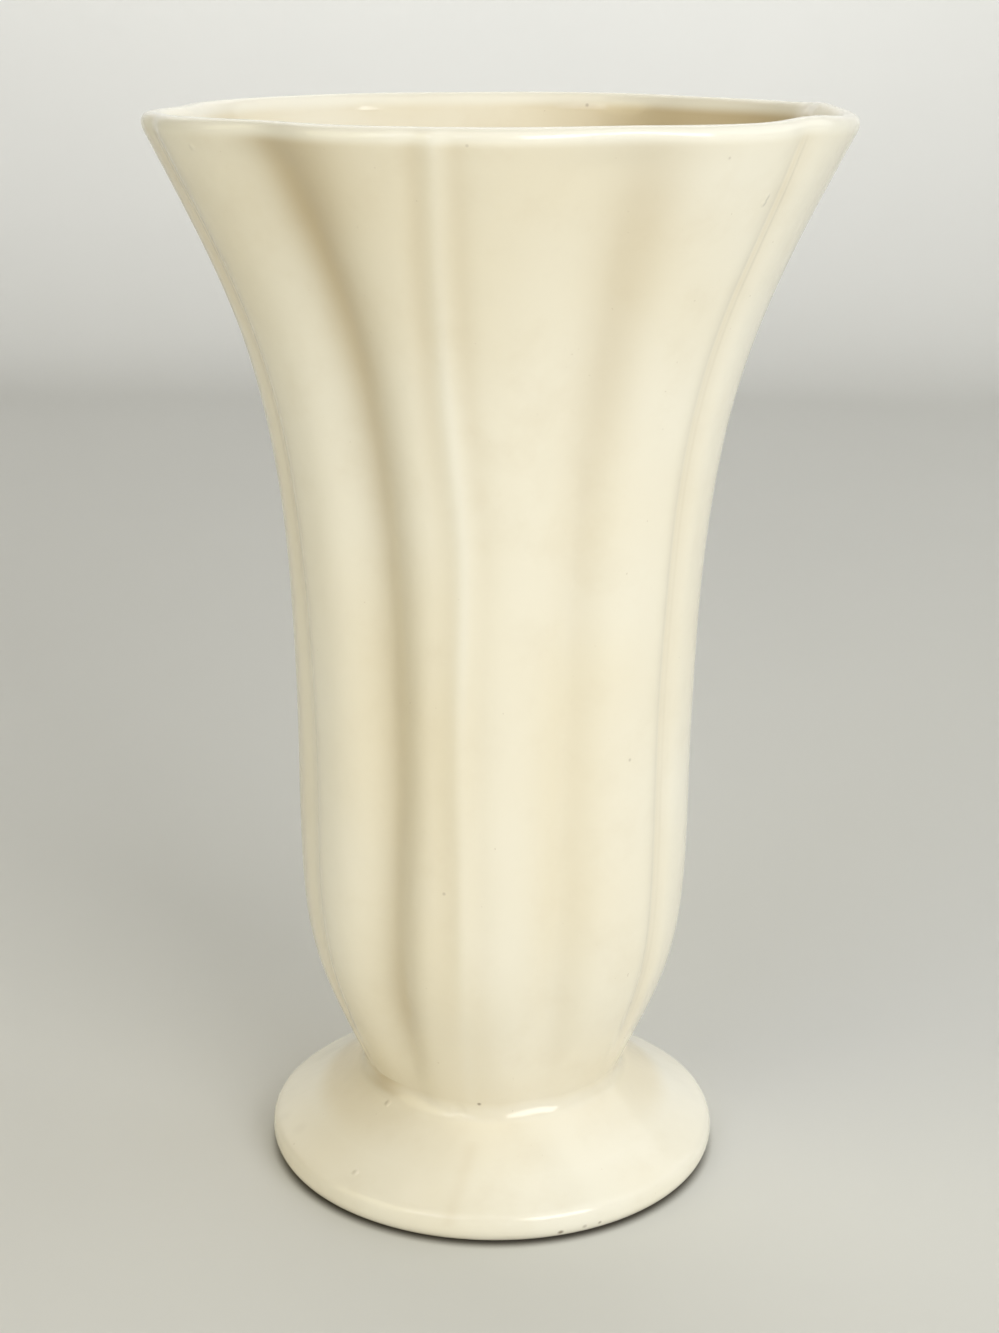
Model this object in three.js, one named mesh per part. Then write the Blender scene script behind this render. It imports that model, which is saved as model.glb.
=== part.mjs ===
// Trumpet vase: a fluted slip-cast body, luted with clay slip to a round pedestal foot.
// Millimetres, +Z up. The origin is on the table, under the middle of the foot.
// Angles round the vase are in degrees from its front, the -Y side, and grow towards +X.
import * as THREE from 'three';

const { degToRad, lerp, smoothstep } = THREE.MathUtils;

// Overall sizes
const height = 254;
const rimRadius = 79.5;
const wall = 4.4;

// Outline of the trumpet over the crowns of its petals: heel, waist and flare
const heelRadius = 30.2;
const heelAngle = 25;
const heelReach = 38;
const waistRadius = 47.6;
const waistHeight = 98;
const bellyReach = 40;
const flareReach = 92;
const lipAngle = 26.5;
const lipReach = 48.5;

// Inside of the body
const floorThickness = 6;
const floorRound = 9;

// Flutes: a broad hollow between each pair of petals, steeper on its right side than on its left,
// and a fine crease down each petal. They fade out towards the heel.
const hollowAngles = [-35, 20, 96, 139, 190, 262];
const creaseAngles = [-8.5, 55, 116, 165, 226, 291];
const hollowSpreadLeft = 12;
const hollowSpreadRight = 8.5;
const creaseSpread = 4.2;
const hollowDepthAtHeel = 0.7;
const hollowDepthAtWaist = 4.8;
const hollowDepthAtRim = 5.4;
const creaseDepth = 1;
const frontCreaseDepth = 0.3;
const fluteFade = 36;

// The rim sags to the left and right of the front, and stands a little higher on the right
const rimSag = 0.5;
const rimTilt = 0.6;
const rimWarpReach = 60;

// Pedestal foot
const footRadius = 55.4;
const footEdge = 10;
const footEdgeSlope = 25;
const seatHeight = 18.6;
const footTopHollow = 0.4;
const footThickness = 6;
const standingRing = 7.5;
const recessReach = 16;

// Slip that lutes the body to the foot
const slipThickness = 1;
const filletHeight = 5;
const filletReach = 5.5;
const filletLip = 0.5;
const slipClearance = 0.3;

// Facets
const stepsPerFlute = 10;
const footSegments = 72;
const heelRows = 6;
const flareRows = 10;
const lipRows = 4;
const innerFlareRows = 7;
const innerHeelRows = 4;
const floorRows = 2;
const filletRows = 3;
const footTopRows = 4;
const footEdgeRows = 6;
const recessRows = 5;

const creamGlaze = new THREE.MeshStandardMaterial({ color: 0xede5cb, roughness: 0.16, metalness: 0 });
const pooledGlaze = new THREE.MeshStandardMaterial({ color: 0xd9cda9, roughness: 0.2, metalness: 0 });

// Heights and radii that follow from the sizes above
const baseHeight = seatHeight + slipThickness;
const floorHeight = baseHeight + floorThickness;
const seatRadius = heelRadius + filletReach;
const lipRadius = wall / 2;
const lipCentre = new THREE.Vector2(rimRadius - lipRadius, height - lipRadius);

const vector = (x, y) => new THREE.Vector2(x, y);
const upward = (degrees) => vector(Math.sin(degToRad(degrees)), Math.cos(degToRad(degrees)));

// Outer outline of the body, in radius and height, from the heel to the waist and on to the lip
const heelPoint = vector(heelRadius, baseHeight);
const waistPoint = vector(waistRadius, waistHeight);
const lipSide = vector(Math.cos(degToRad(lipAngle)), -Math.sin(degToRad(lipAngle)));
const lipPoint = lipCentre.clone().addScaledVector(lipSide, lipRadius);
const heelCurve = new THREE.CubicBezierCurve(
  heelPoint,
  heelPoint.clone().addScaledVector(upward(heelAngle), heelReach),
  vector(waistRadius, waistHeight - bellyReach),
  waistPoint,
);
const flareCurve = new THREE.CubicBezierCurve(
  waistPoint,
  vector(waistRadius, waistHeight + flareReach),
  lipPoint.clone().addScaledVector(upward(lipAngle), -lipReach),
  lipPoint,
);

// Point of a curve set in from it by a distance, towards the axis
function insetPoint(curve, t, distance) {
  const tangent = curve.getTangent(t);
  return curve.getPoint(t).add(vector(-tangent.y, tangent.x).multiplyScalar(distance));
}

// Crown radius of the body's outside at a height below the waist
function heelRadiusAt(z) {
  let low = 0;
  let high = 1;
  while (high - low > 1e-6) {
    const middle = (low + high) / 2;
    if (heelCurve.getPoint(middle).y < z) low = middle;
    else high = middle;
  }
  return heelCurve.getPoint(low).x;
}

// Hollows and creases in turn round the vase, from the hollow to the left of the front crease
const grooves = hollowAngles.flatMap((angle, index) => [
  { angle, hollow: true },
  { angle: creaseAngles[index], hollow: false, depth: index === 0 ? frontCreaseDepth : creaseDepth },
]);
const flutedSegments = grooves.length * stepsPerFlute;

// The two grooves on either side of a step round the vase, how far each one is, and how far it spreads
// towards the step, in degrees
function groovesBeside(step) {
  const index = Math.floor(step / stepsPerFlute) % grooves.length;
  const share = (step % stepsPerFlute) / stepsPerFlute;
  const before = grooves[index];
  const after = grooves[(index + 1) % grooves.length];
  const pitch = THREE.MathUtils.euclideanModulo(after.angle - before.angle, 360);
  return [
    { ...before, distance: share * pitch, spread: before.hollow ? hollowSpreadRight : creaseSpread },
    { ...after, distance: (1 - share) * pitch, spread: after.hollow ? hollowSpreadLeft : creaseSpread },
  ];
}

const fluteRise = (z) => smoothstep(z, baseHeight, baseHeight + fluteFade);

function hollowDepth(z) {
  if (z < waistHeight) return lerp(hollowDepthAtHeel, hollowDepthAtWaist, fluteRise(z));
  return lerp(hollowDepthAtWaist, hollowDepthAtRim, (z - waistHeight) / (height - waistHeight));
}

// How far the flutes lie inside the crown radius: each groove is a soft bell curve
function fluteDepth(step, z) {
  const depths = groovesBeside(step).map(({ hollow, depth, distance, spread }) => {
    const middle = hollow ? hollowDepth(z) : depth * fluteRise(z);
    return middle * Math.exp(-((distance / spread) ** 2));
  });
  return depths[0] + depths[1];
}

// How far the rim's warp lifts a point of the body
function rimLift(angle, z) {
  const across = Math.sin(angle);
  return (rimTilt * across - rimSag * across ** 2) * smoothstep(z, height - rimWarpReach, height);
}

// Turns rows of { r, z, share } round the axis. A row with share 1 follows the flutes, with 0 it is round.
function flutedLathe(rows) {
  const outline = rows.map(({ r, z }) => vector(r, z));
  const geometry = new THREE.LatheGeometry(outline, flutedSegments);
  const { position } = geometry.attributes;
  for (let vertex = 0; vertex < position.count; vertex += 1) {
    const { r, z, share } = rows[vertex % rows.length];
    const step = Math.floor(vertex / rows.length) % flutedSegments;
    const [before] = groovesBeside(step);
    const angle = degToRad(before.angle + before.distance);
    const radius = r - share * fluteDepth(step, z);
    position.setXYZ(vertex, radius * Math.sin(angle), z + rimLift(angle, z), radius * Math.cos(angle));
  }
  return geometry.rotateX(Math.PI / 2);
}

const row = (share) => ({ x, y }) => ({ r: x, z: y, share });

function namedMesh(name, geometry, material) {
  const mesh = new THREE.Mesh(geometry, material);
  mesh.name = name;
  return mesh;
}

// Body: up the outside, round the lip, down the inside and in over the floor
function trumpetBody() {
  const outside = [
    ...heelCurve.getPoints(heelRows),
    ...flareCurve.getPoints(flareRows).slice(1),
  ];
  const lip = [];
  for (let index = 1; index < lipRows; index += 1) {
    const turn = degToRad(-lipAngle) + (Math.PI * index) / lipRows;
    lip.push(lipCentre.clone().add(vector(Math.cos(turn), Math.sin(turn)).multiplyScalar(lipRadius)));
  }
  const inside = [];
  for (let index = innerFlareRows; index > 0; index -= 1) {
    inside.push(insetPoint(flareCurve, index / innerFlareRows, wall));
  }
  for (let index = innerHeelRows; index > 0; index -= 1) {
    const point = insetPoint(heelCurve, index / innerHeelRows, wall);
    if (point.y > floorHeight + floorRound) inside.push(point);
  }
  const floorEdge = insetPoint(heelCurve, 0, wall).x;
  const floorCurve = new THREE.QuadraticBezierCurve(
    inside.at(-1),
    vector(floorEdge, floorHeight),
    vector(floorEdge - floorRound, floorHeight),
  );
  const floor = floorCurve.getPoints(floorRows + 1).slice(1);
  const floorShare = (point) => row((point.y - floorHeight) / (inside.at(-1).y - floorHeight))(point);
  return flutedLathe([
    { r: 0, z: baseHeight, share: 0 },
    ...[...outside, ...lip, ...inside].map(row(1)),
    ...floor.map(floorShare),
    { r: 0, z: floorHeight, share: 0 },
  ]);
}

// Hollowed top of the foot, from its edge up to the seat
const footEdgeRadius = footEdge / 2;
const footEdgeCentre = vector(footRadius - footEdgeRadius, footEdgeRadius);
const footTopStart = footEdgeCentre.clone().addScaledVector(upward(footEdgeSlope), footEdgeRadius);
const seatEdge = vector(seatRadius, seatHeight);
const footSlope = seatEdge.clone().sub(footTopStart).normalize();
const footTopBend = seatEdge.clone().add(footTopStart).multiplyScalar(0.5)
  .addScaledVector(vector(-footSlope.y, footSlope.x), 2 * footTopHollow);
const footTop = new THREE.QuadraticBezierCurve(footTopStart, footTopBend, seatEdge);

// Slip: a thin flat layer under the body, and a fillet that runs from the foot's slope up the fluted heel
function slipJoint() {
  const filletTop = baseHeight + filletHeight;
  const heelSide = (z) => heelRadiusAt(z) + slipClearance;
  const rise = footTop.getTangent(1);
  const filletBend = heelSide(baseHeight) + filletLip;
  const filletCurve = new THREE.QuadraticBezierCurve(
    seatEdge,
    vector(filletBend, seatHeight + ((filletBend - seatRadius) * rise.y) / rise.x),
    vector(heelSide(filletTop) + filletLip, filletTop),
  );
  const fillet = filletCurve.getPoints(filletRows);
  return flutedLathe([
    { r: 0, z: seatHeight, share: 0 },
    ...fillet.map((point, index) => row(index / filletRows)(point)),
    ...[filletTop, baseHeight].map((z) => ({ r: heelSide(z), z, share: 1 })),
    { r: 0, z: baseHeight, share: 0 },
  ]);
}

// Foot: down the recess, along the standing ring, round the edge and in over the top to the seat
function pedestalFoot() {
  const recessHeight = seatHeight - footThickness;
  const ringInside = footEdgeCentre.x - standingRing;
  const recess = new THREE.QuadraticBezierCurve(
    vector(ringInside - recessReach, recessHeight),
    vector(ringInside, recessHeight),
    vector(ringInside, 0),
  ).getPoints(recessRows);
  const edge = [];
  for (let index = 0; index < footEdgeRows; index += 1) {
    const turn = 180 - ((180 - footEdgeSlope) * index) / footEdgeRows;
    edge.push(footEdgeCentre.clone().addScaledVector(upward(turn), footEdgeRadius));
  }
  const top = footTop.getPoints(footTopRows);
  const outline = [vector(0, recessHeight), ...recess, ...edge, ...top, vector(0, seatHeight)];
  return new THREE.LatheGeometry(outline, footSegments).rotateX(Math.PI / 2);
}

const vase = new THREE.Group();
vase.add(
  namedMesh('trumpet_body', trumpetBody(), creamGlaze),
  namedMesh('slip_joint', slipJoint(), pooledGlaze),
  namedMesh('pedestal_foot', pedestalFoot(), creamGlaze),
);

export default vase;
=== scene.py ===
import math

import bpy
import numpy as np
from mathutils import Matrix, Vector


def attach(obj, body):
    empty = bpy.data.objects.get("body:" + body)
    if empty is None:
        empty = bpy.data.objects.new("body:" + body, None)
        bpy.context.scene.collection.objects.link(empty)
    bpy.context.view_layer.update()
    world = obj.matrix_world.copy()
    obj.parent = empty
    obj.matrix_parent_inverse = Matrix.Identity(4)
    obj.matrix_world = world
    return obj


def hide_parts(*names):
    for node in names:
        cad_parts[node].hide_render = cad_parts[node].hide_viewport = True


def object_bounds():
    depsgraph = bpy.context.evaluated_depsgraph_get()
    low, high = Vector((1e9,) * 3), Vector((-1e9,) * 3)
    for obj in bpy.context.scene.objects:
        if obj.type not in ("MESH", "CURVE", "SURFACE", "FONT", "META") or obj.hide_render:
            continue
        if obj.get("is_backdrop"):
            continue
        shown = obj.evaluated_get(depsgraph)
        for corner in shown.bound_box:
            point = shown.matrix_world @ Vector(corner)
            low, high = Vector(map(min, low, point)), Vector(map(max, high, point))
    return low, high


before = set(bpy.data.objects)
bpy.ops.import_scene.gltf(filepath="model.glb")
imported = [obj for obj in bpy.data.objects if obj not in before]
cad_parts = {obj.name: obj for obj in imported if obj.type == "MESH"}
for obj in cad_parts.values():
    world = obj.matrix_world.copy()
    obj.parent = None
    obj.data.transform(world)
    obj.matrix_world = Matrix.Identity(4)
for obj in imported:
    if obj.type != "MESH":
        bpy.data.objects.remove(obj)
cad_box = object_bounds()

# Trumpet vase: finer, glazed pieces that stand for the three nodes of the CAD, and a studio round them.
# Sizes are in millimetres. Angles are in degrees from the front, the -Y side, and grow towards +X.
# A path is two lists: heights, or radii on the foot, and the value at each. A span is where a change starts
# and ends.
PER_METRE = 1000.0

# Outline of the body over the crowns of its petals, as in the CAD
HEIGHT = 254.0
RIM_RADIUS = 79.5
WALL = 4.4
HEEL_RADIUS, HEEL_ANGLE, HEEL_REACH = 30.2, 25.0, 38.0
WAIST_RADIUS, WAIST_HEIGHT, BELLY_REACH = 47.6, 98.0, 40.0
FLARE_REACH, LIP_ANGLE, LIP_REACH = 92.0, 26.5, 48.5
SEAT_HEIGHT, SLIP_THICKNESS = 18.6, 1.0
FLOOR_THICKNESS, FLOOR_ROUND = 6.0, 9.0
BASE_HEIGHT = SEAT_HEIGHT + SLIP_THICKNESS
FLOOR_HEIGHT = BASE_HEIGHT + FLOOR_THICKNESS

# Radius at which an outline starts and ends, where one flat face closes it over the axis
AXIS_GAP = 1.0

# Rolled lip: how far under its crest it leaves the outside and the inside, and the reach of its curves
LIP_START, LIP_END = 1.2, 5.0
CREST_INSET = 0.4
CREST_REACH_OUT, CREST_REACH_IN = 2.5, 2.0
LIP_REACH_OUT, LIP_REACH_IN, LIP_SWELL_IN = 2.5, 2.4, 0.5

# Rim: it sags at the sides, tilts, and rises a little in places (angle, width, rise)
RIM_SAG, RIM_TILT, RIM_WARP_REACH = 0.5, 0.6, 60.0
RIM_RISES = ((56.0, 9.0, 0.8), (98.0, 12.0, 0.9), (-50.0, 25.0, 0.4))
RIM_RISE_REACH = 16.0

# Broad hollows between the petals. The left one wanders, and leans to the left at the rim.
HOLLOWS = (-35.0, 20.0, 96.0, 139.0, 190.0, 262.0)
LEFT_HOLLOW = HOLLOWS[0]
HOLLOW_WIDTH_LEFT, HOLLOW_WIDTH_RIGHT = 12.0, 8.5
HOLLOW_AT_HEEL, HOLLOW_AT_WAIST, HOLLOW_AT_RIM = 0.7, 4.8, 5.4
FLUTE_FADE = 36.0
LEFT_HOLLOW_PATH = ((55.0, 75.0, 105.0, 150.0, 195.0), (0.6, 1.8, 3.2, 2.6, 1.0))
LEFT_HOLLOW_LEAN, LEAN_START = -5.5, 190.0
INNER_HOLLOW_SHARE, INNER_HOLLOW_WIDENING = 0.85, 1.4
RIM_HOLLOW_LOSS, RIM_HOLLOW_REACH = 0.3, 9.0

# Creases down the petals, and how two of them wander. Each holds a narrow rib between two fine lines.
CREASES = (55.0, 116.0, 165.0, 226.0, 291.0)
CREASE_PATHS = {
    55.0: ((60.0, 108.0, 154.0, 186.0, 219.0, 238.0, 268.0), (54.3, 53.8, 54.0, 52.6, 52.8, 53.4, 49.5)),
    291.0: ((75.0, 108.0, 154.0, 197.0, 240.0), (296.0, 296.0, 293.5, 292.5, 291.0)),
}
PATH_SOFTNESS, PATH_SAMPLES = 14.0, 9
CREASE_WIDTH, CREASE_DEPTH, INNER_CREASE_SHARE = 4.2, 1.0, 0.25
LINE_PLACE, LINE_WIDTH, RIB_SHARE = 1.6, 1.0, 1.2
LINE_DEPTHS, LINE_END = (0.04, 0.11), (HEIGHT - 7.0, HEIGHT - 2.5)
FAINT_CREASE, FAINT_SHARE = 291.0, 0.4
DEEPENING = (190.0, 240.0)

# Front seam: a ridge between two grooves (place, width, depths low and at the rim)
SEAM_PATH = ((86.0, 120.0, 154.0, 171.0, 186.0, 219.0, 246.0),
             (-8.7, -10.0, -8.3, -8.2, -10.6, -11.2, -9.5))
SEAM_GROOVES = ((-4.2, 2.8, (0.33, 0.5)), (4.4, 3.0, (0.36, 0.48)))
SEAM_RIDGE, SEAM_RIDGE_WIDTH = 0.26, 1.9
SEAM_START = (40.0, 80.0)

# Unevenness of a hand-finished pot: waves (rise, count round the vase, height of a radian, phase) and rings
WAVES = ((0.05, 3.0, 23.0, 0.0), (0.04, 7.0, -14.0, 1.3), (0.03, 13.0, 31.0, 0.4))
RING_RISE, RING_HEIGHT, RING_SWAY, RING_SWAYS = 0.025, 6.5, 2.0, 5.0

# Share of tan on the body: pooled glaze and painted shade in the left hollow and the creases; painted shade
# in the right hollow, beside the seam, on the heel and inside
# Left hollow: painted shade on its darker flank, with some pooled glaze
LEFT_POOL_AND_SHADE = ((34.0, 50.0, 70.0, 150.0, 200.0, 236.0, 251.0, 253.5),
             (0.0, 0.42, 0.26, 0.28, 0.54, 0.8, 0.7, 0.3))
LEFT_SHADE_SHIFT = ((60.0, 160.0, 220.0), (3.0, 3.0, 2.2))
LEFT_SHADE_WIDTH, LEFT_SHADE_WIDTH_RIGHT = 5.8, ((228.0, 251.0), (6.2, 11.5))
# Right hollow near the rim: painted shade on its left-facing flank
RIGHT_HOLLOW_SHADE = ((130.0, 160.0, 205.0, 240.0, HEIGHT), (0.0, 0.08, 0.24, 0.29, 0.12))
RIGHT_SHADE_ANGLE, RIGHT_SHADE_WIDTH = ((150.0, 200.0), (20.0, 24.0)), 6.5
# Creases and their fine lines: pooled glaze, darkened further as painted shade
CREASE_POOL_AND_SHADE, CREASE_SHADE_WIDTH = 0.17, 4.0
LINE_POOL_AND_SHADE, LINE_SHADE_PLACE, LINE_SHADE_WIDTH = 0.06, 0.8, 0.5
CREASE_SHADE_FADE = (BASE_HEIGHT + 8.0, BASE_HEIGHT + FLUTE_FADE)
# Beside the seam: painted shade in its two grooves
SEAM_SHADES, SEAM_SHADE_RISE = (0.06, 0.2), (150.0, 215.0)
SEAM_SHADE_BANDS = ((-4.2, 2.6, 1.0), (4.4, 2.4, 0.8))
# Heel: painted shade where it curves under, fading upwards
HEEL_SHADE, HEEL_SHADE_FADE = 0.16, (BASE_HEIGHT + 6.0, BASE_HEIGHT + 40.0)
# Inside: a little tan all round, and painted shade on the right wall
INSIDE_SHADES, INSIDE_SHADE_ANGLE, INSIDE_SHADE_FADE = (0.08, 0.8), 108.0, (72.0, 30.0)

# Paler glaze on the body: partly thin glaze and partly a painted reflection on the lip, a painted glint on
# the seam's ridge, and painted sheen on the crowns of the front and left petals
# Lip: partly thin glaze, partly a painted reflection of light from above
LIP_THIN_AND_SHEEN = (HEIGHT - 4.2, HEIGHT - 1.6)
# Seam's ridge: a painted glint
RIDGE_GLINT, RIDGE_GLINT_WIDTH = (0.15, 0.5), 1.7
RIDGE_GLINT_RISE, RIDGE_GLINT_FALL = (110.0, 150.0), (195.0, 225.0)
# Crowns of the front and left petals: painted sheen
CROWN_RISE, CROWN_FALL = (40.0, 70.0), (120.0, 175.0)
FRONT_CROWN, FRONT_CROWN_START, FRONT_CROWN_END = 0.5, (-12.0, 0.0), (60.0, 120.0)
RIGHT_CROWN_LOSS, RIGHT_CROWN_START = 0.6, (12.0, 24.0)
LEFT_CROWN, LEFT_CROWN_ANGLE, LEFT_CROWN_WIDTH = 0.85, -58.0, 14.0

# Foot. Its edge is a quarter ellipse underneath (width, height), and meets the top at a radius and height.
FOOT_RADIUS, FOOT_EDGE = 55.4, 10.0
FOOT_TOP_HOLLOW, FOOT_THICKNESS = 0.4, 6.0
STANDING_RING, RECESS_REACH = 7.5, 16.0
SEAT_LEDGE = 5.5
EDGE_UNDER, EDGE_TOP = (4.2, 4.3), (52.8, 8.5)
EDGE_REACH_LOW, EDGE_REACH_TOP = 2.5, 2.4
FOOT_WAVE_HEIGHT, FOOT_WAVE_OUT, FOOT_WAVE_UP = 2.0, 0.8, 0.6
FOOT_WAVE_START, FOOT_WAVE_RISE = 8.0, (0.4, 4.0)
BARE_HEIGHT, BARE_INSIDE, BARE_OUTSIDE = 0.35, 1.0, 1.2
RING_OUTSIDE = FOOT_RADIUS - FOOT_EDGE / 2
RING_INSIDE = RING_OUTSIDE - STANDING_RING

# Glaze on the foot: tan by the joint, as pooled glaze and painted shade, and pooled in the mould's seam;
# paler at the sides and the back, as painted light
JOINT_POOL_AND_SHADE, JOINT_SHADE_FADE, JOINT_SHADE_DROP = 0.1, (38.0, 47.0), 6.0
FOOT_SEAM, FOOT_SEAM_WIDTH, FOOT_SEAM_ANGLES = 0.1, 1.8, ((36.0, 55.0), (-6.8, -10.2))
FOOT_SEAM_START, FOOT_SEAM_RISE = (36.0, 40.0), (3.5, 7.0)
# Painted light: the top of the foot paler at its sides and back
FOOT_LIT_SIDES, FOOT_LIT_START, FOOT_LIT_RISE = (40.0, 95.0), (40.0, 46.0), (3.0, 8.0)

# Slip joint: a cove between foot and heel, and an apron (radius, rise) that runs out over the foot
FILLET_HEIGHT, FILLET_REACH, FILLET_BEND = 5.4, 3.8, 0.6
FILLET_LIFT, FILLET_BEND_HEIGHT = 0.02, 2.3
APRON = ((39.0, -0.02), (37.5, 0.0), (36.5, 0.01), (35.5, 0.02), (34.7, 0.02))
TUCK_RISE, TUCK_DEPTH, TUCK_WIDTH = 2.0, 0.1, 2.0
UNDER_INSET, UNDER_DROP_INSIDE, UNDER_DROP_OUTSIDE = 6.0, 0.2, 1.5
# Painted shade in the recess where the left hollow meets the foot
PATCH_SHADE, PATCH_ANGLE, PATCH_WIDTH, PATCH_RISE = 0.45, -56.0, 12.0, (0.1, 0.5)

# Steps between angles: everywhere, and closer over the creases and the seam
ANGLE_GRAIN, ANGLE_STEP = 0.05, 0.6
CREASE_STEP, CREASE_STEP_REACH = 0.16, 4.2
SEAM_STEP, SEAM_STEP_ANGLE, SEAM_STEP_REACH = 0.6, -9.0, 9.0

# Rows of points along each stretch of the outlines, with both ends
BOTTOM_ROWS, HEEL_ROWS, FLARE_ROWS = 6, 80, 130
LIP_OUT_ROWS, LIP_IN_ROWS, FLOOR_ROWS, MIDDLE_ROWS = 20, 18, 16, 8
UNDER_ROWS, RECESS_ROWS, RING_ROWS = 10, 30, 8
LOW_EDGE_ROWS, HIGH_EDGE_ROWS, TOP_ROWS, SEAT_ROWS = 24, 24, 40, 8
COVE_ROWS, SWEEP_ROWS, EXACT_ROWS = 44, 24, 400

# Marks in the glaze: angle, distance from the axis, height, size, and shares of darkness and of relief
CREAM_MARKS = (
    (163.0, 73.7, 251.1, 0.7, 0.4, 0.0),
    (47.5, 73.2, 239.2, 1.2, 0.0, 0.9),
    (47.4, 72.6, 238.0, 1.2, 0.0, 0.9),
    (-54.4, 77.2, 247.7, 1.2, 0.0, 0.6),
    (-13.8, 47.1, 84.4, 0.6, 0.25, 0.0),
    (39.4, 47.7, 113.6, 0.6, 0.25, 0.0),
    (-4.6, 78.9, 250.7, 0.5, 0.2, 0.0),
    (35.3, 77.5, 247.8, 0.5, 0.2, 0.0),
    (-39.8, 50.4, 9.4, 1.1, 0.06, 1.4),
    (17.2, 55.2, 2.3, 1.1, 0.75, 0.0),
    (23.4, 55.3, 2.8, 0.9, 0.35, 0.0),
    (27.5, 55.3, 2.9, 0.7, 0.5, 0.0),
    (-69.6, 50.6, 9.3, 3.0, 0.04, 0.0),
    (-79.3, 52.9, 8.3, 3.0, 0.04, 0.0),
)
JOINT_MARKS = (
    (-5.5, 32.6, 24.6, 0.7, 0.6, -0.4),
    (-47.7, 34.3, 19.6, 1.1, 0.08, 1.4),
    (-14.2, 32.3, 22.4, 2.2, 0.0, -1.0),
)

# Stage, in metres: a floor that sweeps up into a backdrop
FLOOR_HALF_WIDTH, FLOOR_FRONT, SWEEP_START, SWEEP_RADIUS, BACKDROP_TOP = 4.0, -3.0, 1.2, 0.8, 4.0

# Soft square lights aimed at the vase: angle round it, angle above the table, width in metres, watts and tint
LIGHT_AIM, LIGHT_DISTANCE = 0.14, 1.6
SOFTBOXES = {
    "key": (34.0, 20.0, 0.9, 14.0, (0.98, 0.985, 0.94)),
    "right_side": (95.0, 36.0, 1.8, 9.2, (0.93, 0.97, 0.95)),
    "left_side": (-60.0, 22.0, 1.3, 7.2, (1.0, 0.93, 0.6)),
    "front_left": (-30.0, 26.0, 0.7, 2.8, (0.85, 0.88, 1.0)),
    "back_top": (-172.0, 62.0, 1.2, 3.0, (1.0, 0.96, 0.93)),
}

# Lights over the front and on the backdrop: place, target and sizes in metres, watts and tint
PANELS = {
    "top_front": ((0.0, -1.0, 1.9), (0.0, 0.0, 0.1), (2.0, 1.2), 5.3, (1.0, 0.97, 0.9)),
    "backdrop": ((0.0, 0.7, 1.5), (0.0, 2.0, 1.8), (2.4, 0.9), 41.0, (1.0, 1.0, 1.0)),
}
WORLD_TINT, WORLD_STRENGTH = (1.0, 0.92, 0.84, 1.0), 0.06

# Camera at the photograph's view: place in metres, tilts, and focal length in the photograph's pixels
CAMERA_PLACE = (0.00075, -0.5034, 0.2790)
CAMERA_PITCH, CAMERA_ROLL = 17.12, 0.55
FOCAL_PIXELS, PHOTO_ROWS, SENSOR_HEIGHT = 2200.0, 1333.0, 36.0


# Curves and shares
def upward(degrees):
    turn = math.radians(degrees)
    return np.array([math.sin(turn), math.cos(turn)])


def curve(points, count):
    """Points of a quadratic or cubic curve, and its tangents."""
    t = np.linspace(0.0, 1.0, count)[:, None]
    layers = [np.repeat(np.array(p, float)[None, :], count, 0) for p in points]
    while len(layers) > 2:
        layers = [a + (b - a) * t for a, b in zip(layers, layers[1:])]
    tangents = layers[1] - layers[0]
    tangents /= np.linalg.norm(tangents, axis=1)[:, None]
    return layers[0] + (layers[1] - layers[0]) * t, tangents


def level_line(start, end, count, height):
    """Points of a level line, with both its ends."""
    return np.stack([np.linspace(start, end, count), np.full(count, height)], 1)


def smoothstep(x, low, high):
    t = np.clip((x - low) / (high - low), 0.0, 1.0)
    return t * t * (3.0 - 2.0 * t)


def between(x, rise, fall):
    return smoothstep(x, *rise) * (1.0 - smoothstep(x, *fall))


def blend(share, low, high):
    return low + (high - low) * share


def bell(away, width):
    return np.exp(-(away / width) ** 2)


def apart(degrees, centre):
    return (degrees - centre + 180.0) % 360.0 - 180.0


heel_point = np.array([HEEL_RADIUS, BASE_HEIGHT])
waist_point = np.array([WAIST_RADIUS, WAIST_HEIGHT])
lip_centre = np.array([RIM_RADIUS - WALL / 2, HEIGHT - WALL / 2])
lip_side = np.array([math.cos(math.radians(LIP_ANGLE)), -math.sin(math.radians(LIP_ANGLE))])
lip_point = lip_centre + WALL / 2 * lip_side
HEEL_CURVE = (heel_point, heel_point + HEEL_REACH * upward(HEEL_ANGLE),
              (WAIST_RADIUS, WAIST_HEIGHT - BELLY_REACH), waist_point)
FLARE_CURVE = (waist_point, (WAIST_RADIUS, WAIST_HEIGHT + FLARE_REACH),
               lip_point - LIP_REACH * upward(LIP_ANGLE), lip_point)


# Flutes
def flute_rise(z):
    return smoothstep(z, BASE_HEIGHT, BASE_HEIGHT + FLUTE_FADE)


def hollow_depth(z):
    above = np.interp(z, (WAIST_HEIGHT, HEIGHT), (HOLLOW_AT_WAIST, HOLLOW_AT_RIM))
    return np.where(z < WAIST_HEIGHT, blend(flute_rise(z), HOLLOW_AT_HEEL, HOLLOW_AT_WAIST), above)


def left_hollow_shift(z):
    """How far the left hollow lies beside its angle."""
    lean = np.clip((z - LEAN_START) / (HEIGHT - LEAN_START), 0.0, 1.0) ** 2
    return np.interp(z, *LEFT_HOLLOW_PATH) + LEFT_HOLLOW_LEAN * lean


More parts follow.
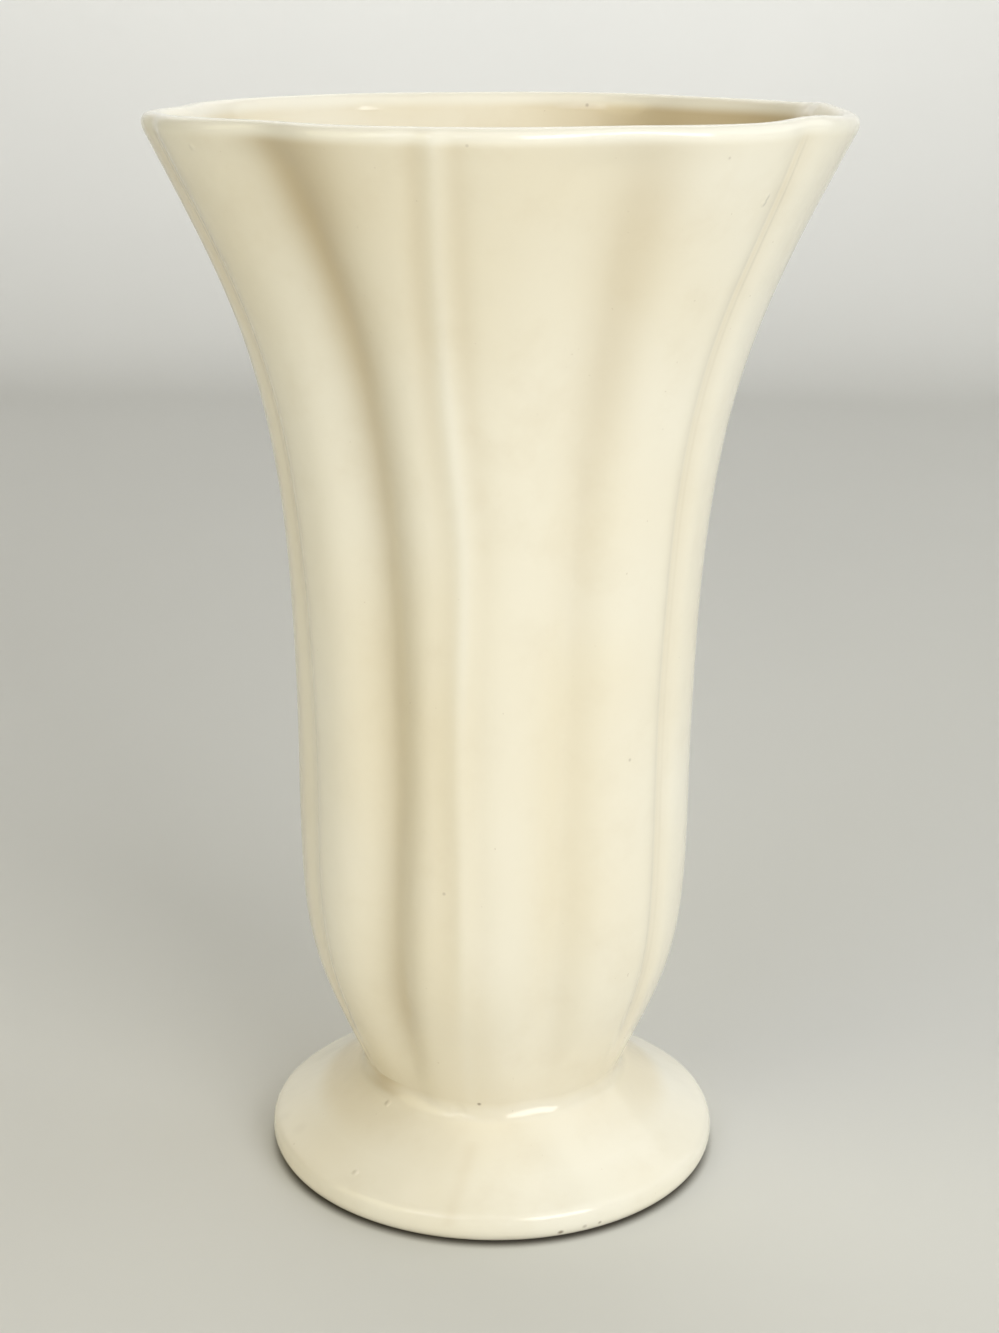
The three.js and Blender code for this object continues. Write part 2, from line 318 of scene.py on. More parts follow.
def hollows(angles, z, widening=1.0):
    """How deep the broad hollows lie under the crowns. Each is steeper on its right side."""
    shape = np.zeros((len(z), len(angles)))
    for centre in HOLLOWS:
        shift = left_hollow_shift(z) if centre == LEFT_HOLLOW else np.zeros(len(z))
        away = apart(angles[None, :], (centre + shift)[:, None])
        shape += bell(away, widening * np.where(away < 0.0, HOLLOW_WIDTH_LEFT, HOLLOW_WIDTH_RIGHT))
    return hollow_depth(z)[:, None] * shape


def beside(angles, z, r, path):
    """How far points lie from a softened path up the body, in millimetres round it."""
    steps = np.linspace(-PATH_SOFTNESS, PATH_SOFTNESS, PATH_SAMPLES)
    line = np.mean([np.interp(z + step, *path) for step in steps], 0)
    return np.radians(apart(angles[None, :], line[:, None])) * r[:, None]


def crease_lines(angles, z, r):
    """Distances from each crease."""
    paths = [CREASE_PATHS.get(centre, ((0.0, HEIGHT), (centre, centre))) for centre in CREASES]
    return [beside(angles, z, r, path) for path in paths]


def creases(angles, z, r, fine):
    """Depth of the creases and of the front seam. Fine creases hold their ribs."""
    high = smoothstep(z, *DEEPENING)[:, None]
    line_depth = blend(high, *LINE_DEPTHS) * (1.0 - smoothstep(z, *LINE_END))[:, None]
    total = np.zeros((len(z), len(angles)))
    for centre, along in zip(CREASES, crease_lines(angles, z, r)):
        total += CREASE_DEPTH * bell(along / r[:, None], math.radians(CREASE_WIDTH))
        if fine:
            lines = bell(along + LINE_PLACE, LINE_WIDTH) + bell(along - LINE_PLACE, LINE_WIDTH)
            share = FAINT_SHARE if centre == FAINT_CREASE else 1.0
            total += share * line_depth * (lines - RIB_SHARE * bell(along, LINE_WIDTH))
    along = beside(angles, z, r, SEAM_PATH)
    seam = -SEAM_RIDGE * bell(along, SEAM_RIDGE_WIDTH)
    for place, width, depths in SEAM_GROOVES:
        seam += blend(high, *depths) * bell(along - place, width)
    return flute_rise(z)[:, None] * (total + smoothstep(z, *SEAM_START)[:, None] * seam)


def waves(angles, z):
    """The slight unevenness of a hand-finished pot, within 0.15 mm."""
    turn = np.radians(angles)[None, :]
    up = z[:, None]
    total = RING_RISE * np.sin(up / RING_HEIGHT + RING_SWAY * np.sin(RING_SWAYS * turn))
    for rise, count, height, phase in WAVES:
        total += rise * np.sin(count * turn + up / height + phase)
    return total


def rim_lift(angles, z):
    across = np.sin(np.radians(angles))[None, :]
    near_rim = smoothstep(z, HEIGHT - RIM_WARP_REACH, HEIGHT)[:, None]
    at_rim = smoothstep(z, HEIGHT - RIM_RISE_REACH, HEIGHT)[:, None]
    lift = (RIM_TILT * across - RIM_SAG * across ** 2) * near_rim
    for centre, width, rise in RIM_RISES:
        lift += rise * bell(apart(angles, centre), width)[None, :] * at_rim
    return lift


def fluted_angles():
    """Angles round the vase, closer together over the creases and the seam."""
    spacing = np.arange(-180.0, 180.0, ANGLE_GRAIN)
    weight = np.full(spacing.shape, 1.0 / ANGLE_STEP)
    for centre in CREASES:
        weight += np.exp(-(apart(spacing, centre) / CREASE_STEP_REACH) ** 4) / CREASE_STEP
    weight += np.exp(-(apart(spacing, SEAM_STEP_ANGLE) / SEAM_STEP_REACH) ** 4) / SEAM_STEP
    reach = np.concatenate([[0.0], np.cumsum(weight)])
    count = int(reach[-1] * ANGLE_GRAIN)
    edges = np.concatenate([spacing, [180.0]])
    return np.interp(np.arange(count) * reach[-1] / count, reach, edges)


# Meshes
def round_points(radius, z, angles):
    turn = np.radians(angles)[None, :]
    return np.stack([radius * np.sin(turn), -radius * np.cos(turn), z], -1).reshape(-1, 3)


def turned(rows, columns, closed_profile=False):
    """Quads of a grid of rows by columns that closes round the axis."""
    last = rows if closed_profile else rows - 1
    i, j = np.meshgrid(np.arange(last), np.arange(columns), indexing="ij")
    k, n = (j + 1) % columns, (i + 1) % rows
    return np.stack([i * columns + j, i * columns + k, n * columns + k, n * columns + j], -1).reshape(-1, 4)


def end_caps(rows, columns):
    """The faces that close the first and the last row at the axis."""
    return [list(range(columns))[::-1], list(range((rows - 1) * columns, rows * columns))]


def new_piece(name, points, faces, attributes, node):
    """A mesh piece from points in millimetres, which stands for a CAD node."""
    mesh = bpy.data.meshes.new(name)
    mesh.from_pydata((points / PER_METRE).tolist(), [], faces)
    for key, values in attributes.items():
        values = values.ravel().astype(np.float32)
        mesh.attributes.new(key, "FLOAT", "POINT").data.foreach_set("value", values)
    mesh.polygons.foreach_set("use_smooth", np.ones(len(mesh.polygons), bool))
    mesh.update()
    piece = bpy.data.objects.new(name, mesh)
    bpy.context.scene.collection.objects.link(piece)
    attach(piece, "root")
    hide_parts(node)
    return piece


# Body
def set_in(points, tangents):
    return points + WALL * np.stack([-tangents[:, 1], tangents[:, 0]], 1)


def body_rows():
    """The body's outline from the axis under it to the axis on its floor. For each point: radius and height,
    the share of the flutes that it follows, and how far it lies within the mouth."""
    heel, heel_way = curve(HEEL_CURVE, HEEL_ROWS)
    flare, flare_way = curve(FLARE_CURVE, FLARE_ROWS)
    inner_heel, inner_flare = set_in(heel, heel_way), set_in(flare, flare_way)
    last = np.searchsorted(flare[:, 1], lip_point[1] - LIP_START)
    low = np.searchsorted(inner_flare[:, 1], HEIGHT - LIP_END)
    way = flare_way[last]
    crest = np.array([lip_centre[0] - CREST_INSET, HEIGHT])
    lip_out = (flare[last], flare[last] + LIP_REACH_OUT * way, crest + (CREST_REACH_OUT, 0.0), crest)
    lip_in = (crest, crest - (CREST_REACH_IN, 0.0),
              inner_flare[low] + LIP_REACH_IN * way - (LIP_SWELL_IN, 0.0), inner_flare[low])

    bottom = level_line(AXIS_GAP, HEEL_RADIUS, BOTTOM_ROWS, BASE_HEIGHT)[:-1]
    outside = np.vstack([heel, flare[1:last + 1]])
    lip = np.vstack([curve(lip_out, LIP_OUT_ROWS)[0][1:], curve(lip_in, LIP_IN_ROWS)[0][1:-1]])
    inside = np.vstack([inner_flare[:low + 1][::-2], inner_heel[::-2]])
    inside = inside[inside[:, 1] > FLOOR_HEIGHT + FLOOR_ROUND]
    corner = inner_heel[0, 0]
    floor_curve = (inside[-1], (corner, FLOOR_HEIGHT), (corner - FLOOR_ROUND, FLOOR_HEIGHT))
    floor = curve(floor_curve, FLOOR_ROWS)[0][1:]
    middle = level_line(floor[-1, 0], AXIS_GAP, MIDDLE_ROWS, FLOOR_HEIGHT)[1:]

    profile = np.vstack([bottom, outside, lip, inside, floor, middle])
    share = np.ones(len(profile))
    share[:len(bottom)] = np.linspace(0.0, 1.0, len(bottom) + 1)[:-1]
    low_rows = slice(len(profile) - len(floor) - len(middle), None)
    rise = (profile[low_rows, 1] - FLOOR_HEIGHT) / (inside[-1, 1] - FLOOR_HEIGHT)
    share[low_rows] = np.clip(rise, 0.0, 1.0)
    within = np.zeros(len(profile))
    start = len(bottom) + len(outside)
    within[start:start + len(lip)] = smoothstep(np.arange(len(lip)), 0, len(lip) - 1)
    within[start + len(lip):] = 1.0
    return profile, share[:, None], within[:, None]


def outside_pool_and_shade(angles, z, r):
    """Share of tan on the outside, as painted shade: in two hollows, in the creases, beside the seam and on
    the heel; in the left hollow and the creases partly pooled glaze too.
    """
    # Left hollow: painted shade with some pooled glaze
    left = LEFT_HOLLOW + left_hollow_shift(z) + np.interp(z, *LEFT_SHADE_SHIFT)
    away = apart(angles[None, :], left[:, None])
    width = np.where(away < 0.0, LEFT_SHADE_WIDTH, np.interp(z, *LEFT_SHADE_WIDTH_RIGHT)[:, None])
    total = np.interp(z, *LEFT_POOL_AND_SHADE)[:, None] * bell(away, width)
    away = apart(angles[None, :], np.interp(z, *RIGHT_SHADE_ANGLE)[:, None])
    total += np.interp(z, *RIGHT_HOLLOW_SHADE)[:, None] * bell(away, RIGHT_SHADE_WIDTH)
    fade = smoothstep(z, *CREASE_SHADE_FADE)[:, None]
    for along in crease_lines(angles, z, r):
        total += fade * CREASE_POOL_AND_SHADE * bell(along, CREASE_SHADE_WIDTH)
        for place in (-LINE_SHADE_PLACE, LINE_SHADE_PLACE):
            total += fade * LINE_POOL_AND_SHADE * bell(along - place, LINE_SHADE_WIDTH)
    along = beside(angles, z, r, SEAM_PATH)
    seam_shade = fade * blend(smoothstep(z, *SEAM_SHADE_RISE), *SEAM_SHADES)[:, None]
    for place, width, share in SEAM_SHADE_BANDS:
        total += seam_shade * share * bell(along - place, width)
    heel = 1.0 - smoothstep(z, *HEEL_SHADE_FADE)
    return total + HEEL_SHADE * heel[:, None]


def inside_shade(angles):
    """Share of tan inside: a little all round, and painted shade most of all on the right."""
    right = smoothstep(np.abs(apart(angles, INSIDE_SHADE_ANGLE)), *INSIDE_SHADE_FADE)
    return blend(right, *INSIDE_SHADES)[None, :]


def outside_highlights(angles, z, r):
    """Paler glaze as painted highlights: a glint on the seam's ridge, and sheen on the crowns of the front
    and left petals.
    """
    glint = between(z, RIDGE_GLINT_RISE, RIDGE_GLINT_FALL)
    along = beside(angles, z, r, SEAM_PATH)
    ridge = blend(glint, *RIDGE_GLINT)[:, None] * bell(along, RIDGE_GLINT_WIDTH)
    crown = 1.0 - np.clip(hollows(angles, z) / hollow_depth(z)[:, None], 0.0, 1.0)
    front = FRONT_CROWN * between(angles, FRONT_CROWN_START, FRONT_CROWN_END)
    front *= 1.0 - RIGHT_CROWN_LOSS * smoothstep(angles, *RIGHT_CROWN_START)
    left = LEFT_CROWN * bell(apart(angles, LEFT_CROWN_ANGLE), LEFT_CROWN_WIDTH)
    crown *= (front + left)[None, :] * between(z, CROWN_RISE, CROWN_FALL)[:, None]
    return ridge, crown


def make_body():
    profile, share, within = body_rows()
    r, z = profile[:, 0], profile[:, 1]
    angles = fluted_angles()
    outside = 1.0 - within
    inner = INNER_HOLLOW_SHARE * hollows(angles, z, INNER_HOLLOW_WIDENING)
    broad = hollows(angles, z) * outside + inner * within
    broad *= (1.0 - RIM_HOLLOW_LOSS * smoothstep(z, HEIGHT - RIM_HOLLOW_REACH, HEIGHT))[:, None]
    fine = creases(angles, z, r, True) * outside + INNER_CREASE_SHARE * creases(angles, z, r, False) * within
    radius = r[:, None] + share * (waves(angles, z) - broad - fine)
    points = round_points(radius, z[:, None] + rim_lift(angles, z), angles)
    faces = turned(len(profile), len(angles)).tolist() + end_caps(len(profile), len(angles))
    # Tan share: pooled glaze and painted shade
    pool_and_shade = outside_pool_and_shade(angles, z, r) * outside + inside_shade(angles) * within
    # Pale share: thin glaze on the lip, and painted highlights on the seam's ridge and the crowns
    ridge, crown = outside_highlights(angles, z, r)
    thin_and_highlight = np.maximum(smoothstep(z, *LIP_THIN_AND_SHEEN)[:, None], crown * outside) + ridge * outside
    glaze_shares = {"pool_and_shade": np.clip(pool_and_shade, 0.0, 1.0), "thin_and_highlight": np.clip(thin_and_highlight, 0.0, 1.0)}
    return new_piece("trumpet_body_glazed", points, faces, glaze_shares, "trumpet_body")


# Foot
edge_top = np.array(EDGE_TOP)
seat_edge = np.array([HEEL_RADIUS + SEAT_LEDGE, SEAT_HEIGHT])
foot_slope = (seat_edge - edge_top) / np.linalg.norm(seat_edge - edge_top)
foot_top_bend = (edge_top + seat_edge) / 2 + 2 * FOOT_TOP_HOLLOW * np.array([-foot_slope[1], foot_slope[0]])
FOOT_TOP = (edge_top, foot_top_bend, seat_edge)


def foot_rows():
    """The foot's outline from the axis under it to the axis on its seat."""
    recess_height = SEAT_HEIGHT - FOOT_THICKNESS
    recess_edge = (RING_INSIDE - RECESS_REACH, recess_height)
    recess, _ = curve((recess_edge, (RING_INSIDE, recess_height), (RING_INSIDE, 0.0)), RECESS_ROWS)
    under = level_line(AXIS_GAP, recess_edge[0], UNDER_ROWS, recess_height)[:-1]
    width, height = EDGE_UNDER
    ring = level_line(RING_INSIDE, FOOT_RADIUS - width, RING_ROWS, 0.0)[1:-1]
    turn = np.radians(np.linspace(0.0, 90.0, LOW_EDGE_ROWS))
    low_edge = np.stack([FOOT_RADIUS - width * (1.0 - np.sin(turn)), height * (1.0 - np.cos(turn))], 1)
    top, way = curve(FOOT_TOP, TOP_ROWS)
    side = low_edge[-1]
    edge_curve = (side, side + (0.0, EDGE_REACH_LOW), top[0] - EDGE_REACH_TOP * way[0], top[0])
    high_edge, _ = curve(edge_curve, HIGH_EDGE_ROWS)
    seat = level_line(seat_edge[0], AXIS_GAP, SEAT_ROWS, SEAT_HEIGHT)[1:]
    return np.vstack([under, recess, ring, low_edge, high_edge[1:], top[1:], seat])


def make_foot():
    profile = foot_rows()
    r, z = profile[:, 0], profile[:, 1]
    angles = np.arange(-180.0, 180.0, ANGLE_STEP)
    rise = smoothstep(r, RING_INSIDE, RING_INSIDE + FOOT_WAVE_START) * smoothstep(z, *FOOT_WAVE_RISE)
    wave = waves(angles, z * FOOT_WAVE_HEIGHT) * rise[:, None]
    height = np.maximum(z[:, None] + FOOT_WAVE_UP * wave, 0.0)
    points = round_points(r[:, None] + FOOT_WAVE_OUT * wave, height, angles)
    faces = turned(len(profile), len(angles)).tolist() + end_caps(len(profile), len(angles))

    on_ring = (z < BARE_HEIGHT) & (r > RING_INSIDE - BARE_INSIDE) & (r < RING_OUTSIDE + BARE_OUTSIDE)
    near_joint = (1.0 - smoothstep(r, *JOINT_SHADE_FADE)) * (z > SEAT_HEIGHT - JOINT_SHADE_DROP)
    seam = np.radians(apart(angles[None, :], np.interp(r, *FOOT_SEAM_ANGLES)[:, None])) * r[:, None]
    on_seam = (smoothstep(r, *FOOT_SEAM_START) * smoothstep(z, *FOOT_SEAM_RISE))[:, None]
    on_top = (smoothstep(r, *FOOT_LIT_START) * smoothstep(z, *FOOT_LIT_RISE))[:, None]
    glaze_shares = {
        # Pooled glaze and painted shade by the joint, and the mould's seam
        "pool_and_shade": JOINT_POOL_AND_SHADE * near_joint[:, None] + FOOT_SEAM * bell(seam, FOOT_SEAM_WIDTH) * on_seam,
        # Painted light on the foot's sides and back
        "thin_and_highlight": smoothstep(np.abs(angles), *FOOT_LIT_SIDES)[None, :] * on_top,
        "bare": np.repeat(on_ring[:, None], len(angles), 1),
    }
    return new_piece("pedestal_foot_glazed", points, faces, glaze_shares, "pedestal_foot")


# Joint
def foot_height(radius):
    """Height of the foot's top at a radius. Its slope runs on over the seat, under the slip."""
    top, way = curve(FOOT_TOP, EXACT_ROWS)
    run_on = SEAT_HEIGHT + (radius - seat_edge[0]) * way[-1, 1] / way[-1, 0]
    return np.where(radius < seat_edge[0], run_on, np.interp(-radius, -top[:, 0], top[:, 1]))


def heel_radius(angles, height):
    """Radius of the fluted heel at a height, for each angle."""
    heel, _ = curve(HEEL_CURVE, EXACT_ROWS)
    z = np.array([height])
    r = np.interp(z, heel[:, 1], heel[:, 0])
    return (r[:, None] - hollows(angles, z) - creases(angles, z, r, True) + waves(angles, z))[0]


def cove(t, low, bend, high):
    """A cubic curve that leans towards the corner between its ends."""
    lean_low, lean_high = blend(FILLET_BEND, low, bend), blend(FILLET_BEND, high, bend)
    return ((1 - t) ** 3 * low + 3 * t * (1 - t) ** 2 * lean_low + 3 * t ** 2 * (1 - t) * lean_high
            + t ** 3 * high)


def make_joint():
    angles = fluted_angles()
    level = np.ones(len(angles))
    top_height = BASE_HEIGHT + FILLET_HEIGHT
    top = heel_radius(angles, top_height)
    low_radius = HEEL_RADIUS + FILLET_REACH
    low_height = foot_height(low_radius) + FILLET_LIFT
    way = curve(FOOT_TOP, EXACT_ROWS)[1][-1]
    bend_radius = heel_radius(angles, BASE_HEIGHT + FILLET_BEND_HEIGHT)
    bend_height = low_height + (bend_radius - low_radius) * way[1] / way[0]
    t = np.linspace(0.0, 1.0, COVE_ROWS)[:, None]
    apron, lift = np.array(APRON).T
    radius = np.vstack([
        apron[:, None] * level,
        cove(t, low_radius, bend_radius, top),
        heel_radius(angles, top_height + TUCK_RISE) - TUCK_DEPTH,
        top - TUCK_WIDTH,
        level * (HEEL_RADIUS - UNDER_INSET),
        level * seat_edge[0],
    ])
    height = np.vstack([
        (foot_height(apron) + lift)[:, None] * level,
        cove(t, low_height, bend_height, top_height),
        level * (top_height + TUCK_RISE),
        level * top_height,
        level * (SEAT_HEIGHT - UNDER_DROP_INSIDE),
        level * (SEAT_HEIGHT - UNDER_DROP_OUTSIDE),
    ])
    points = round_points(radius, height, angles)
    faces = turned(len(radius), len(angles), closed_profile=True).tolist()
    hidden = np.ones(len(radius) - len(apron) - len(t))
    rise = np.concatenate([np.zeros(len(apron)), t[:, 0], hidden])[:, None]
    patch = PATCH_SHADE * bell(apart(angles, PATCH_ANGLE), PATCH_WIDTH)[None, :]
    # Painted shade: tan along the cove up to the heel, darker in the recess at the left
    pool_and_shade = blend(rise, JOINT_POOL_AND_SHADE, HEEL_SHADE) + patch * smoothstep(rise, *PATCH_RISE)
    glaze_shares = {"pool_and_shade": pool_and_shade, "thin_and_highlight": np.zeros(pool_and_shade.shape)}
    return new_piece("slip_joint_glazed", points, faces, glaze_shares, "slip_joint")


# Materials. A mix node has sockets for every kind of value, so those of its colours go by number.
MIX_ONE, MIX_OTHER, MIX_RESULT = 6, 7, 2


class Graph:
    """A material's node tree, built node by node."""

    def __init__(self, name):
        self.material = bpy.data.materials.new(name)
        self.material.use_nodes = True
        self.nodes = self.material.node_tree.nodes
        self.links = self.material.node_tree.links
        self.shader = self.nodes["Principled BSDF"]

    def node(self, kind, inputs=(), **settings):
        made = self.nodes.new(kind)
        for key, value in settings.items():
            setattr(made, key, value)
        for key, value in dict(inputs).items():
            self.feed(made.inputs[key], value)
        return made

    def feed(self, socket, value):
        if isinstance(value, bpy.types.NodeSocket):
            self.links.new(value, socket)
        else:
            socket.default_value = value

    def math(self, operation, *values):
        made = self.node("ShaderNodeMath", enumerate(values), operation=operation)
        return made.outputs[0]

    def ramp(self, value, low, high):
        made = self.node("ShaderNodeMapRange", {"Value": value, "From Min": low, "From Max": high},
                         interpolation_type="SMOOTHSTEP")
        return made.outputs["Result"]

    def mix(self, share, one, other):
        inputs = {"Factor": share, MIX_ONE: one, MIX_OTHER: other}
        return self.node("ShaderNodeMix", inputs, data_type="RGBA").outputs[MIX_RESULT]

    def place(self):
        return self.node("ShaderNodeTexCoord").outputs["Object"]

    def noise(self, place, scale, detail=2.0, rough=0.5):
        inputs = {"Vector": place, "Scale": scale, "Detail": detail, "Roughness": rough}
        return self.node("ShaderNodeTexNoise", inputs).outputs["Fac"]

    def attribute(self, name):
        return self.node("ShaderNodeAttribute", attribute_name=name).outputs["Fac"]

    def near(self, place, point, size):
        """A soft spot round a point."""
        away = self.node("ShaderNodeVectorMath", {0: place, 1: point}, operation="DISTANCE").outputs["Value"]
        return self.math("SUBTRACT", 1.0, self.ramp(away, size * SPOT_CORE, size))

    def bump(self, height, strength, distance):
        made = self.node("ShaderNodeBump", {"Height": height, "Strength": strength, "Distance": distance})
        self.feed(self.shader.inputs["Normal"], made.outputs["Normal"])


def colour(red, green, blue):
    """A linear colour from 8-bit display values."""
    shares = (c / 255 for c in (red, green, blue))
    return tuple(((s + 0.055) / 1.055) ** 2.4 for s in shares) + (1.0,)


CREAM, TAN_AND_SHADE, PALE_AND_HIGHLIGHT = colour(243, 233, 208), colour(205, 184, 142), colour(251, 247, 234)
SPECK, PINHOLE = colour(150, 118, 76), colour(112, 84, 52)
CLAY, DARK_CLAY, CLAY_GRAIN = colour(214, 198, 172), colour(188, 166, 136), colour(128, 108, 84)
PAPER, LIGHT_PAPER, PAINTED_CONTACT_SHADOW = colour(217, 217, 214), colour(222, 222, 219), colour(96, 91, 82)

# Noises of the materials, with scales per metre, and the spans and shares in which they show
DRIFT_SCALE, DRIFT_SPAN = 11.0, (0.25, 0.8)
MOTTLE_SCALE, MOTTLE_SPAN, MOTTLE_SHARE = 70.0, (0.45, 0.8), 0.1
SPECK_SCALE, SPECK_SPAN, SPECK_SHARE = 900.0, (0.8, 0.83), 0.2
PEEL_SCALE, FINE_PEEL_SCALE, FINE_PEEL_SHARE = 55.0, 320.0, 0.12
CLAY_DRIFT_SCALE, CLAY_DRIFT_SPAN = 60.0, (0.3, 0.75)
GRAIN_SCALE, GRAIN_SPAN, GRAIN_SHARE = 1400.0, (0.6, 0.75), 0.5
PAPER_DRIFT_SCALE = 3.0

# Gloss and relief of the materials, with bump heights in metres
GLAZE_ROUGHNESS = {"From Min": 0.3, "From Max": 0.8, "To Min": 0.1, "To Max": 0.17}
GLAZE_IOR, THIN_AND_HIGHLIGHT_SHARE, SPOT_CORE = 1.52, 0.9, 0.15
GLAZE_BUMP, GLAZE_BUMP_HEIGHT = 0.35, 0.0006
CLAY_ROUGHNESS, CLAY_BUMP, CLAY_BUMP_HEIGHT = 0.85, 0.5, 0.0003
PAPER_ROUGHNESS, CONTACT_REACH, CONTACT_SPAN = 0.9, 0.0035, (0.15, 0.8)


def glaze(name, marks):
    """Cream glaze, tan where it pools and where shade is painted, pale where it is thin and where highlights
    are painted, with fine specks and a few marks.
    """
    g = Graph(name)
    place = g.place()
    mottle = g.noise(place, MOTTLE_SCALE, detail=4.0, rough=0.6)
    specks = g.ramp(g.noise(place, SPECK_SCALE, detail=1.0), *SPECK_SPAN)
    tone = g.mix(g.ramp(g.noise(place, DRIFT_SCALE), *DRIFT_SPAN), CREAM, PALE_AND_HIGHLIGHT)
    tone = g.mix(g.math("MULTIPLY", g.ramp(mottle, *MOTTLE_SPAN), MOTTLE_SHARE), tone, TAN_AND_SHADE)
    # Tan where glaze pools and where shade is painted
    tone = g.mix(g.attribute("pool_and_shade"), tone, TAN_AND_SHADE)
    # Pale where glaze is thin and where highlights, glints and sheen are painted
    tone = g.mix(g.math("MULTIPLY", g.attribute("thin_and_highlight"), THIN_AND_HIGHLIGHT_SHARE), tone, PALE_AND_HIGHLIGHT)
    tone = g.mix(g.math("MULTIPLY", specks, SPECK_SHARE), tone, SPECK)
    fine_peel = g.math("MULTIPLY", g.noise(place, FINE_PEEL_SCALE), FINE_PEEL_SHARE)
    relief = g.math("ADD", g.noise(place, PEEL_SCALE, detail=3.0), fine_peel)
    for angle, radius, height, size, darkness, rise in marks:
        turn = math.radians(angle)
        point = Vector((radius * math.sin(turn), -radius * math.cos(turn), height)) / PER_METRE
        spot = g.near(place, point, size / PER_METRE)
        if darkness:
            tone = g.mix(g.math("MULTIPLY", spot, darkness), tone, PINHOLE)
        if rise:
            relief = g.math("ADD", relief, g.math("MULTIPLY", spot, rise))
    rough = g.node("ShaderNodeMapRange", {"Value": mottle, **GLAZE_ROUGHNESS})
    g.feed(g.shader.inputs["Base Color"], tone)
    g.feed(g.shader.inputs["Roughness"], rough.outputs["Result"])
    g.feed(g.shader.inputs["IOR"], GLAZE_IOR)
    g.bump(relief, GLAZE_BUMP, GLAZE_BUMP_HEIGHT)
    return g.material


def bisque(name):
    """Unglazed clay, with a fine dark grain."""
    g = Graph(name)
    place = g.place()
    grain = g.noise(place, GRAIN_SCALE, detail=3.0, rough=0.7)
    drift = g.noise(place, CLAY_DRIFT_SCALE, detail=3.0)
    tone = g.mix(g.ramp(drift, *CLAY_DRIFT_SPAN), CLAY, DARK_CLAY)
    tone = g.mix(g.math("MULTIPLY", g.ramp(grain, *GRAIN_SPAN), GRAIN_SHARE), tone, CLAY_GRAIN)
    g.feed(g.shader.inputs["Base Color"], tone)
    g.feed(g.shader.inputs["Roughness"], CLAY_ROUGHNESS)
    g.bump(grain, CLAY_BUMP, CLAY_BUMP_HEIGHT)
    return g.material


def paper(name):
    """Plain pale paper, with a painted contact shadow: darker in the narrow gap under the foot's edge."""
    g = Graph(name)
    plain = g.mix(g.noise(g.place(), PAPER_DRIFT_SCALE, detail=3.0), PAPER, LIGHT_PAPER)
    # Painted contact shadow: an ambient occlusion node darkens the paper's colour near the foot
    open_share = g.node("ShaderNodeAmbientOcclusion", {"Distance": CONTACT_REACH}).outputs["AO"]
    g.feed(g.shader.inputs["Base Color"], g.mix(g.ramp(open_share, *CONTACT_SPAN), PAINTED_CONTACT_SHADOW, plain))
    g.feed(g.shader.inputs["Roughness"], PAPER_ROUGHNESS)
    return g.material


def dress(body, joint, foot):
    """Gives the pieces their glaze. Faces of the foot's bare ring get the clay."""
    cream_glaze = glaze("cream_glaze", CREAM_MARKS)
    body.data.materials.append(cream_glaze)
    joint.data.materials.append(glaze("pooled_glaze", JOINT_MARKS))
    foot.data.materials.append(cream_glaze)
    foot.data.materials.append(bisque("unglazed_ring"))
    bare = np.zeros(len(foot.data.vertices), np.float32)
    foot.data.attributes["bare"].data.foreach_get("value", bare)
    for face in foot.data.polygons:
        if all(bare[v] > 0.5 for v in face.vertices):
            face.material_index = 1


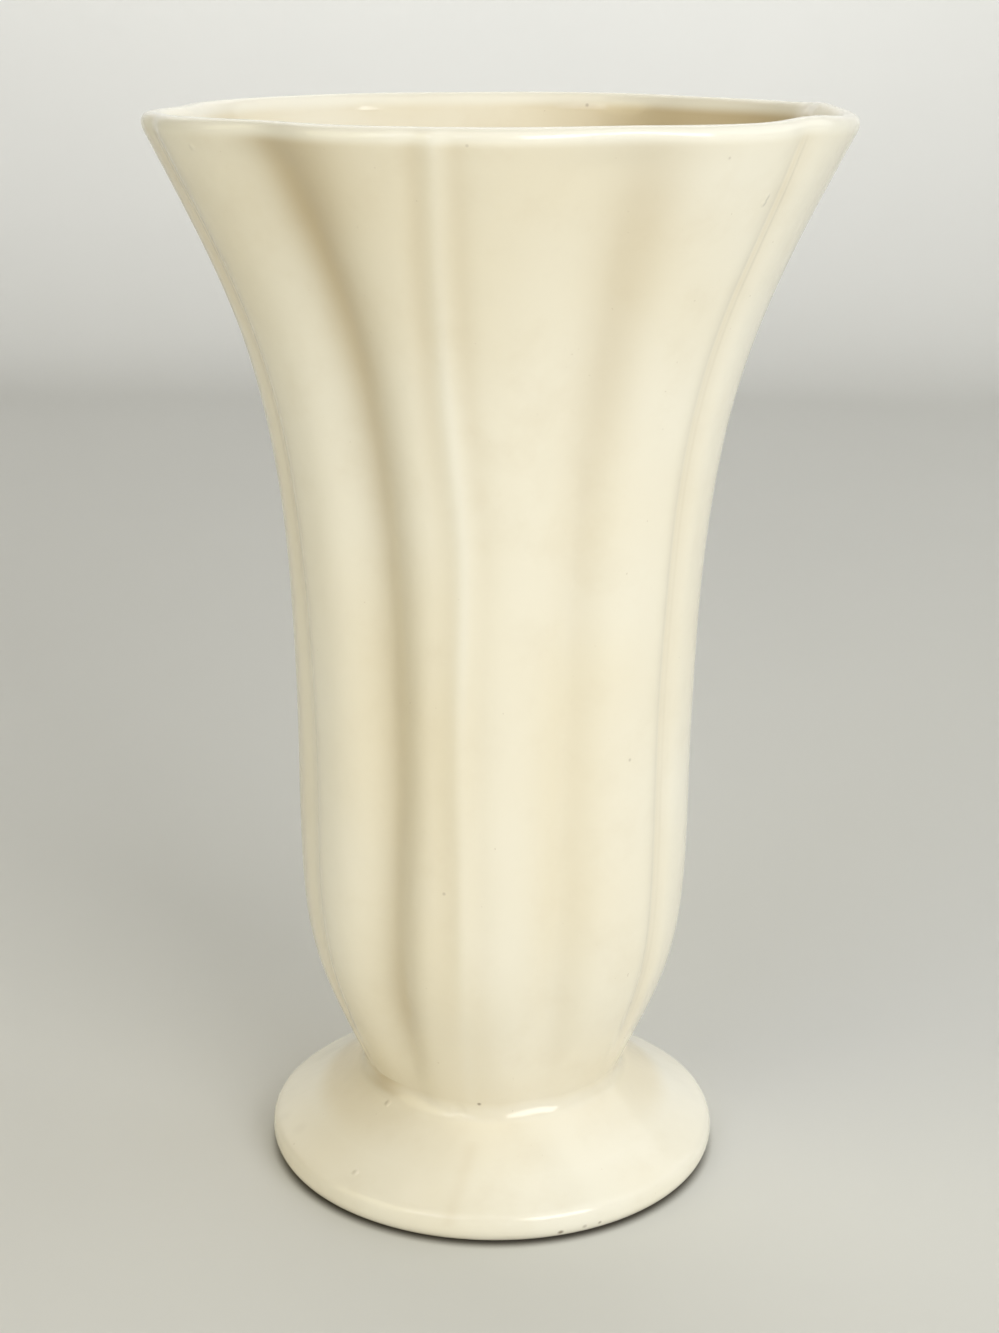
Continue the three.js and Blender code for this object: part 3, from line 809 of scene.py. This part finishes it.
# Stage
def make_floor():
    """A floor that sweeps up into a backdrop."""
    profile = [(FLOOR_FRONT, 0.0)]
    for turn in np.linspace(0.0, math.pi / 2, SWEEP_ROWS):
        back, up = SWEEP_RADIUS * math.sin(turn), SWEEP_RADIUS * (1.0 - math.cos(turn))
        profile.append((SWEEP_START + back, up))
    profile.append((SWEEP_START + SWEEP_RADIUS, BACKDROP_TOP))
    points = [(x, y, z) for y, z in profile for x in (-FLOOR_HALF_WIDTH, FLOOR_HALF_WIDTH)]
    faces = [(2 * i, 2 * i + 1, 2 * i + 3, 2 * i + 2) for i in range(len(profile) - 1)]
    mesh = bpy.data.meshes.new("studio_floor")
    mesh.from_pydata(points, [], faces)
    mesh.polygons.foreach_set("use_smooth", np.ones(len(mesh.polygons), bool))
    mesh.materials.append(paper("studio_paper"))
    floor = bpy.data.objects.new("studio_floor", mesh)
    bpy.context.scene.collection.objects.link(floor)
    floor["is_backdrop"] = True


def area(name, place, target, size, power, tint):
    data = bpy.data.lights.new(name, "AREA")
    data.shape = "RECTANGLE"
    data.size, data.size_y = size
    data.energy = power
    data.color = tint
    lamp = bpy.data.objects.new(name, data)
    lamp.location = place
    lamp.rotation_euler = (Vector(target) - Vector(place)).to_track_quat("-Z", "Y").to_euler()
    bpy.context.scene.collection.objects.link(lamp)


def softbox(name, around, above, width, power, tint):
    """A square soft light aimed at the vase, from an angle round it and an angle above the table."""
    turn, rise = math.radians(around), math.radians(above)
    way = Vector((math.sin(turn) * math.cos(rise), -math.cos(turn) * math.cos(rise), math.sin(rise)))
    middle = Vector((0.0, 0.0, LIGHT_AIM))
    area(name, middle + LIGHT_DISTANCE * way, middle, (width, width), power, tint)


def make_lights():
    for name, settings in SOFTBOXES.items():
        softbox(name, *settings)
    for name, settings in PANELS.items():
        area(name, *settings)
    world = bpy.data.worlds.new("studio")
    bpy.context.scene.world = world
    world.use_nodes = True
    background = world.node_tree.nodes["Background"]
    background.inputs["Color"].default_value = WORLD_TINT
    background.inputs["Strength"].default_value = WORLD_STRENGTH


def make_camera():
    data = bpy.data.cameras.new("photo_view")
    data.sensor_fit = "VERTICAL"
    data.sensor_height = SENSOR_HEIGHT
    data.lens = FOCAL_PIXELS / PHOTO_ROWS * SENSOR_HEIGHT
    camera = bpy.data.objects.new("photo_view", data)
    pitch = Matrix.Rotation(math.radians(90.0 - CAMERA_PITCH), 4, "X")
    roll = Matrix.Rotation(math.radians(CAMERA_ROLL), 4, "Z")
    camera.matrix_world = Matrix.Translation(CAMERA_PLACE) @ pitch @ roll
    bpy.context.scene.collection.objects.link(camera)
    bpy.context.scene.camera = camera
    bpy.context.scene.view_settings.view_transform = "Standard"


dress(make_body(), make_joint(), make_foot())
make_floor()
make_lights()
make_camera()

numbers = lambda box: [[float(v) for v in corner] for corner in box]
{"cad": numbers(cad_box), "visual": numbers(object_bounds())}
